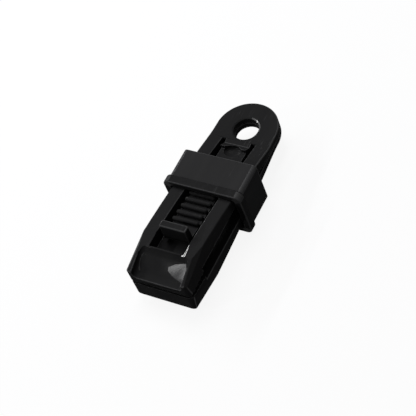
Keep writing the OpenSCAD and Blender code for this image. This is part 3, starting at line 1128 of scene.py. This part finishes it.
def hollow(sizes):
    """Flat ball that hollows the plate and the foot of the stop."""
    middle, size = hollow_place(sizes)
    around, rings = HOLLOW_BALL
    shape = bmesh.new()
    bmesh.ops.create_uvsphere(shape, u_segments=around, v_segments=rings, radius=1.0)
    bmesh.ops.scale(shape, vec=size, verts=shape.verts)
    bmesh.ops.translate(shape, vec=middle, verts=shape.verts)
    return finished_mesh(shape, "hollow")


def stop_steps(sizes):
    """Mesh of the stop and the step that cuts the pocket in its front."""
    stop, face, radius = stop_y(sizes), sizes.eyelet_thickness, sizes.pocket_radius
    back = stop + sizes.stop_run
    foot = face - sizes.tongue_thickness / 2
    top = rail_z(sizes, stop) + sizes.stop_height
    half = plate_half(sizes)
    outline = [(back, foot), (back, face), (stop, top), (stop, foot)]
    wedge = drawn_out("tongue_stop", outline, "X", -half, half)
    pocket = circle((0.0, stop + sizes.pocket_depth - radius), radius, POCKET_POINTS)
    pocket = drawn_out("pocket", pocket, "Z", foot - OVERRUN, top + OVERRUN)
    return wedge, [("DIFFERENCE", pocket)]


def ridge_values(sizes):
    """The ridge tree's inputs by name."""
    past_block = TONGUE_LOW.y + sizes.block_length + sizes.block_gap
    return {
        "Count": sizes.ridge_count,
        "Pitch": sizes.ridge_pitch,
        "Radius": sizes.ridge_radius,
        "Width": sizes.ridge_width,
        "Last ridge": past_block + sizes.ridge_radius,
        "Drop": sizes.ridge_drop,
        "Wall": sizes.ridge_wall,
        "Foot": sizes.ridge_foot,
    }


def ridge_tree(sizes, values, material):
    """Geometry Nodes tree of the ridge row.

    The ridges are round-ended bars on low walls, set along the arched back.
    """
    tree = bpy.data.node_groups.new("Ridge row", "GeometryNodeTree")
    faces = tree.interface
    faces.new_socket("Geometry", in_out="OUTPUT", socket_type="NodeSocketGeometry")
    for name, value in values.items():
        kind = "NodeSocketInt" if isinstance(value, int) else "NodeSocketFloat"
        faces.new_socket(name, in_out="INPUT", socket_type=kind)
    shop = Workshop(tree)
    given = shop.node("NodeGroupInput")

    def place():
        position = shop.node("GeometryNodeInputPosition")["Position"]
        return shop.node("ShaderNodeSeparateXYZ", None, {0: position})

    def shift(**sockets):
        return shop.node("ShaderNodeCombineXYZ", None, sockets)["Vector"]

    def made(kind, sockets, output="Geometry"):
        return shop.node("GeometryNode" + kind, None, sockets)[output]

    start, pitch = shift(Y=given["Last ridge"]), shift(Y=given["Pitch"])
    line = {"Count": given["Count"], "Start Location": start, "Offset": pitch}
    row = made("MeshLine", line, "Mesh")
    lift = shift(Z=rail_z(sizes, place()["Y"]) - given["Drop"])
    seats = made("SetPosition", {"Geometry": row, "Offset": lift})

    around, rings = RIDGE_BALL
    ball = {"Segments": around, "Rings": rings, "Radius": given["Radius"]}
    ball = made("MeshUVSphere", ball, "Mesh")
    lying = made("Transform", {"Geometry": ball, "Rotation": (0.0, math.pi / 2, 0.0)})
    at = place()
    slack = given["Radius"] * RIDGE_SLACK
    side = (at["X"] > slack) - (0.0 - slack > at["X"])
    below = 0.0 - slack > at["Z"]
    spread = shift(
        X=side * (given["Width"] * 0.5 - given["Radius"]),
        Y=at["Y"] * below * (given["Wall"] / (given["Radius"] * 2.0) - 1.0),
        Z=below * (0.0 - given["Foot"]),
    )
    bar = made("SetPosition", {"Geometry": lying, "Offset": spread})

    bars = made("InstanceOnPoints", {"Points": seats, "Instance": bar}, "Instances")
    solid = made("RealizeInstances", {"Geometry": bars})
    smooth = made("SetShadeSmooth", {"Geometry": solid})
    dressed = made("SetMaterial", {"Geometry": smooth, "Material": material})
    shop.node("NodeGroupOutput", None, {"Geometry": dressed})
    return tree


# Collar

def ring(y, across, up, corner, middle):
    """A rounded rectangle across Y, as points in order, from its half sizes."""
    points = []
    for quarter in range(4):
        turn_x = 1 if quarter in (0, 3) else -1
        turn_z = 1 if quarter in (0, 1) else -1
        for i in range(SLEEVE_POINTS + 1):
            turn = math.pi / 2 * (quarter + i / SLEEVE_POINTS)
            x = turn_x * (across - corner) + corner * math.cos(turn)
            z = turn_z * (up - corner) + corner * math.sin(turn)
            points.append((x, y, z + middle))
    return points


def collar_rings(sizes):
    """Rings of the collar's wall: outside from back to front, then the bore back again."""
    front, back = COLLAR_LOW.y, COLLAR_HIGH.y
    flange = front + sizes.flange_length
    middle = (COLLAR_LOW.z + COLLAR_HIGH.z) / 2
    half_w = (COLLAR_HIGH.x - COLLAR_LOW.x) / 2 - sizes.flange_out
    half_h = (COLLAR_HIGH.z - COLLAR_LOW.z) / 2 - sizes.flange_out
    rim, step, out = sizes.collar_radius, sizes.step_radius, sizes.flange_out + sizes.flange_swell
    lip = out - step
    turns = [math.pi / 2 * i / (RIM_POINTS - 1) for i in range(RIM_POINTS)]
    # Shares across and along of a quarter round, from 0, 1 to 1, 0
    turn = [(math.sin(t), math.cos(t)) for t in turns]
    back_turn = turn[::-1]

    outside = [(back - rim * (1 - b), -rim * (1 - a)) for a, b in turn]
    outside += [(flange + step * (1 - a), step * (1 - b)) for a, b in turn]
    outside += [(flange - lip * (1 - b), step + lip * a) for a, b in turn]
    outside += [(front + rim * (1 - b), out - rim * (1 - a)) for a, b in back_turn]
    inside = [(front + rim * (1 - b), rim * (1 - a)) for a, b in turn]
    inside += [(back - rim * (1 - b), rim * (1 - a)) for a, b in back_turn]

    bore_w, bore_h = half_w - sizes.collar_side, half_h - sizes.collar_wall
    rings = []
    for line, across, up, corner in (
        (outside, half_w, half_h, sizes.collar_corner),
        (inside, bore_w, bore_h, sizes.bore_corner),
    ):
        rings += [ring(y, across + rise, up + rise, corner + rise, middle) for y, rise in line]
    return rings


def collar_mesh(sizes):
    """The collar's wall as one closed sleeve."""
    shape = bmesh.new()
    rows = [[shape.verts.new(point) for point in points] for points in collar_rings(sizes)]
    for row, after in zip(rows, rows[1:] + rows[:1]):
        for face in bridge(shape, after, row):
            face.smooth = True
    bmesh.ops.remove_doubles(shape, verts=shape.verts, dist=SEAM_GAP)
    return finished_mesh(shape, "collar_sleeve")


def rim_highlights_of(mesh, step):
    """A function that gives 1 for narrow faces of the collar, away from the flange's step: they are
    lighter, partly as wear and partly as painted highlight lines.
    """
    def worn(face):
        if abs(face.center.y - step) < OVERRUN:
            return 0.0
        corners = [mesh.vertices[i].co for i in face.vertices]
        sides = [(a - b).length for a, b in zip(corners, corners[1:] + corners[:1])]
        return float(min(sides) < RIM_FACE)

    return worn


def rib_outline(sizes):
    """Side outline of the catch rib, from inside the top wall down to just above the ridges."""
    front = COLLAR_LOW.y
    wall_top = COLLAR_HIGH.z - sizes.flange_out
    bore_top = wall_top - sizes.collar_wall
    buried = wall_top - sizes.collar_wall / 2
    tip = rail_z(sizes, front) - sizes.ridge_drop + sizes.ridge_radius + sizes.rib_clear
    near = front + sizes.rib_inset
    far = near + sizes.rib_length
    point = ((near + far) / 2, tip)
    return [(near, buried), (near, bore_top), point, (far, bore_top), (far, buried)]


# Operators

class TARPCLIP_OT_arms(Operator):
    """Makes both toothed arms with their moulded radii"""

    bl_idname = "tarp_clip.arms"
    bl_label = "Arms"

    def execute(self, context):
        sizes = context.scene.tarp_clip_sizes
        at = Stations(sizes)
        for node, body, made in (
            ("upper_arm", "upper_body", upper_arm_mesh),
            ("lower_arm", "lower_body", lower_arm_mesh),
        ):
            side, taken = made(sizes, at)
            piece = combine(new_piece(node + "_moulding", side, plastic("body")), taken)
            mould(piece, sizes.rail_radius, arm_edge_radius(sizes, at), picked_highlights(sizes, at))
            if node == "lower_arm":
                piece.data.transform(Matrix.Scale(-1.0, 4, (0.0, 0.0, 1.0)))
                piece.data.flip_normals()
            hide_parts(node)
            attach(piece, body)
        return {"FINISHED"}


class TARPCLIP_OT_hinge_web(Operator):
    """Makes the film hinge at the far end of the eyelet"""

    bl_idname = "tarp_clip.hinge_web"
    bl_label = "Film hinge"

    def execute(self, context):
        sizes = context.scene.tarp_clip_sizes
        rim, high = sizes.eyelet_width / 2, sizes.web_height / 2
        outline = film_outline(rim - sizes.web_thickness, rim, sizes.web_arc / 2)
        film = drawn_out("hinge_web_film", outline, "Z", -high, high)
        piece = new_piece("hinge_web_film", film, plastic("body"))
        mould(piece, sizes.fine_radius)
        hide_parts("hinge_web")
        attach(piece, "lower_body")
        return {"FINISHED"}


class TARPCLIP_OT_tongue(Operator):
    """Makes the release tongue's plate, stop and end block"""

    bl_idname = "tarp_clip.tongue"
    bl_label = "Release tongue"

    def execute(self, context):
        sizes = context.scene.tarp_clip_sizes
        wedge, pocket = stop_steps(sizes)
        stop = combine(new_piece("tongue_stop", wedge, plastic("body")), pocket)
        half = plate_half(sizes)
        plate = drawn_out("tongue_plate", plate_outline(sizes), "X", -half, half)
        taken = [("UNION", stop.data.copy()), ("DIFFERENCE", hollow(sizes))]
        plate = combine(new_piece("tongue_plate", plate, plastic("body")), taken)
        bpy.data.objects.remove(stop)

        middle, size = hollow_place(sizes)

        def radius_of(edge):
            if min(vert.co.y for vert in edge.verts) > TONGUE_HIGH.y - MERGE_GAP:
                return 0.0
            where = (edge.verts[0].co + edge.verts[1].co) / 2
            out = math.hypot(*((a - b) / c for a, b, c in zip(where, middle, size)))
            return sizes.fine_radius if out < HOLLOW_RIM else sizes.tongue_radius

        mould(plate, sizes.tongue_radius, radius_of)
        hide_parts("tongue")

        near = TONGUE_LOW.y + sizes.block_length
        floor = floor_z(sizes, near)
        low = (TONGUE_LOW.y, floor - sizes.tongue_thickness / 2)
        corners = box_outline(low, (near, floor + sizes.block_height))
        half = sizes.block_width / 2
        block = drawn_out("tongue_block", corners, "X", -half, half)
        block = new_piece("tongue_block", block, plastic("body"))
        mould(block, sizes.block_radius)

        for piece in (plate, block):
            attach(piece, "tongue_body")
        return {"FINISHED"}


class TARPCLIP_OT_ridges(Operator):
    """Makes the row of catch ridges along the tongue's floor"""

    bl_idname = "tarp_clip.ridges"
    bl_label = "Ridges"

    def execute(self, context):
        sizes = context.scene.tarp_clip_sizes
        values = ridge_values(sizes)
        tree = ridge_tree(sizes, values, plastic("body"))
        piece = new_piece("tongue_ridges", bpy.data.meshes.new("tongue_ridges"), plastic("body"))
        modifier = piece.modifiers.new("Ridge row", "NODES")
        modifier.node_group = tree
        for socket in tree.interface.items_tree:
            if socket.in_out == "INPUT":
                modifier[socket.identifier] = values[socket.name]
        bake_modifiers(piece)
        if len(piece.data.polygons) == 0:
            raise RuntimeError("the ridge row came out empty")
        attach(piece, "tongue_body")
        return {"FINISHED"}


class TARPCLIP_OT_collar(Operator):
    """Makes the sliding collar with its flange and catch rib"""

    bl_idname = "tarp_clip.collar"
    bl_label = "Collar"

    def execute(self, context):
        sizes = context.scene.tarp_clip_sizes
        sleeve = new_piece("collar_sleeve", collar_mesh(sizes), plastic("collar"))
        keep_flats(sleeve)
        bake_modifiers(sleeve)
        step = COLLAR_LOW.y + sizes.flange_length
        # Narrow rims get a lighter colour, partly wear and partly painted highlight lines
        store_wear_and_highlight(sleeve, rim_highlights_of(sleeve.data, step))
        # The flange's faces make the darker band
        band = [float(face.center.y < step) for face in sleeve.data.polygons]
        mark_faces(sleeve.data, "smooth_band", band)
        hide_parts("collar")

        half = sizes.rib_width / 2
        rib = drawn_out("collar_catch_rib", rib_outline(sizes), "X", -half, half)
        rib = new_piece("collar_catch_rib", rib, plastic("collar"))
        mould(rib, sizes.fine_radius)

        for piece in (sleeve, rib):
            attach(piece, "collar_body")
        return {"FINISHED"}


# Stage

def seen_rays(shop):
    """1 where the camera, a reflection or a view through glass sees the surface."""
    path = shop.node("ShaderNodeLightPath")
    seen = path["Is Camera Ray"] + path["Is Glossy Ray"] + path["Is Transmission Ray"]
    return seen.clamped()


def floor_material(stage):
    """Pale floor that shows near white and keeps the clip's shadow."""
    material = bpy.data.materials.new("stage_floor")
    material.use_nodes = True
    material.node_tree.nodes.clear()
    shop = Workshop(material.node_tree)
    seen = seen_rays(shop)
    tone = mixed(shop, seen, opaque(stage.floor_bounce), opaque(stage.floor_colour))
    shaded = shop.node("ShaderNodeBsdfDiffuse", None, {"Color": tone})["BSDF"]
    white = shop.node("ShaderNodeEmission", None, {"Color": WHITE, "Strength": 1.0})["Emission"]
    both = {0: seen * stage.floor_glow, 1: shaded, 2: white}
    both = shop.node("ShaderNodeMixShader", None, both)["Shader"]
    shop.node("ShaderNodeOutputMaterial", None, {"Surface": both})
    return material


def area_lamp(name, watts, towards, width, height, aim):
    """A rectangular lamp in a direction from the aim, turned to face it."""
    data = bpy.data.lights.new(name, "AREA")
    data.energy = watts
    data.shape = "RECTANGLE"
    data.size = width
    data.size_y = height
    lamp = bpy.data.objects.new(name, data)
    bpy.context.scene.collection.objects.link(lamp)
    back = Vector(towards).normalized()
    along = Vector((0.0, 1.0, 0.0))
    along = (along - back * along.dot(back)).normalized()
    turned = Matrix((along, back.cross(along), back)).transposed()
    lamp.matrix_world = Matrix.Translation(aim + back * LAMP_DISTANCE) @ turned.to_4x4()


def room_world(stage):
    """Even light from all round that shows near white to the camera and in reflections."""
    world = bpy.data.worlds.new("stage_room")
    world.use_nodes = True
    shop = Workshop(world.node_tree)
    strength = seen_rays(shop) * (stage.room_seen - stage.room_light) + stage.room_light
    room = world.node_tree.nodes["Background"]
    room.inputs["Color"].default_value = WHITE
    shop.link(strength, room, "Strength")
    return world


class TARPCLIP_OT_stage(Operator):
    """Sets the floor, the lights and the camera"""

    bl_idname = "tarp_clip.stage"
    bl_label = "Stage"

    def execute(self, context):
        stage = context.scene.tarp_clip_stage
        shape = bmesh.new()
        bmesh.ops.create_circle(
            shape, cap_ends=True, radius=stage.floor_radius, segments=ROUND_POINTS
        )
        mesh = bpy.data.meshes.new("stage_floor")
        shape.to_mesh(mesh)
        shape.free()
        mesh.transform(Matrix.Translation((0.0, 0.0, CAD_LOW.z)))
        new_piece("stage_floor", mesh, floor_material(stage))

        aim = Vector(stage.aim)
        for name, width, height in LAMPS:
            watts, towards = getattr(stage, name + "_light"), getattr(stage, name + "_from")
            area_lamp(name + "_lamp", watts, towards, width, height, aim)
        context.scene.world = room_world(stage)

        data = bpy.data.cameras.new("photo_camera")
        data.lens = stage.lens
        camera = bpy.data.objects.new("photo_camera", data)
        context.scene.collection.objects.link(camera)
        level, high = math.cos(stage.elevation), math.sin(stage.elevation)
        back = Vector((math.sin(stage.azimuth) * level, -math.cos(stage.azimuth) * level, high))
        upright = (-back).to_track_quat("-Z", "Y").to_matrix()
        turned = upright @ Euler((0.0, 0.0, stage.roll)).to_matrix()
        camera.matrix_world = Matrix.Translation(aim + back * stage.distance) @ turned.to_4x4()
        context.scene.camera = camera
        context.scene.view_settings.view_transform = "Standard"
        return {"FINISHED"}


# Add-on

class TARPCLIP_PT_panel(Panel):
    """Lists the operators in the order they are run"""

    bl_idname = "TARPCLIP_PT_panel"
    bl_label = "Tarp clip"
    bl_space_type = "VIEW_3D"
    bl_region_type = "UI"
    bl_category = "Tarp clip"

    def draw(self, context):
        for operator in OPERATORS:
            self.layout.operator(operator.bl_idname)


GROUPS = (
    ("tarp_clip_sizes", TarpClipSizes),
    ("tarp_clip_finish", TarpClipFinish),
    ("tarp_clip_stage", TarpClipStage),
)
OPERATORS = (
    TARPCLIP_OT_arms,
    TARPCLIP_OT_hinge_web,
    TARPCLIP_OT_tongue,
    TARPCLIP_OT_ridges,
    TARPCLIP_OT_collar,
    TARPCLIP_OT_stage,
)


def register():
    """Registers the settings, the operators and the panel."""
    for name, group in GROUPS:
        bpy.utils.register_class(group)
        setattr(bpy.types.Scene, name, PointerProperty(type=group))
    for operator in OPERATORS:
        bpy.utils.register_class(operator)
    bpy.utils.register_class(TARPCLIP_PT_panel)


def unregister():
    """Removes what register added."""
    bpy.utils.unregister_class(TARPCLIP_PT_panel)
    for operator in reversed(OPERATORS):
        bpy.utils.unregister_class(operator)
    for name, group in reversed(GROUPS):
        delattr(bpy.types.Scene, name)
        bpy.utils.unregister_class(group)


def main():
    register()
    bpy.ops.tarp_clip.arms()
    bpy.ops.tarp_clip.hinge_web()
    bpy.ops.tarp_clip.tongue()
    bpy.ops.tarp_clip.ridges()
    bpy.ops.tarp_clip.collar()
    bpy.ops.tarp_clip.stage()


if __name__ == "__main__":
    main()
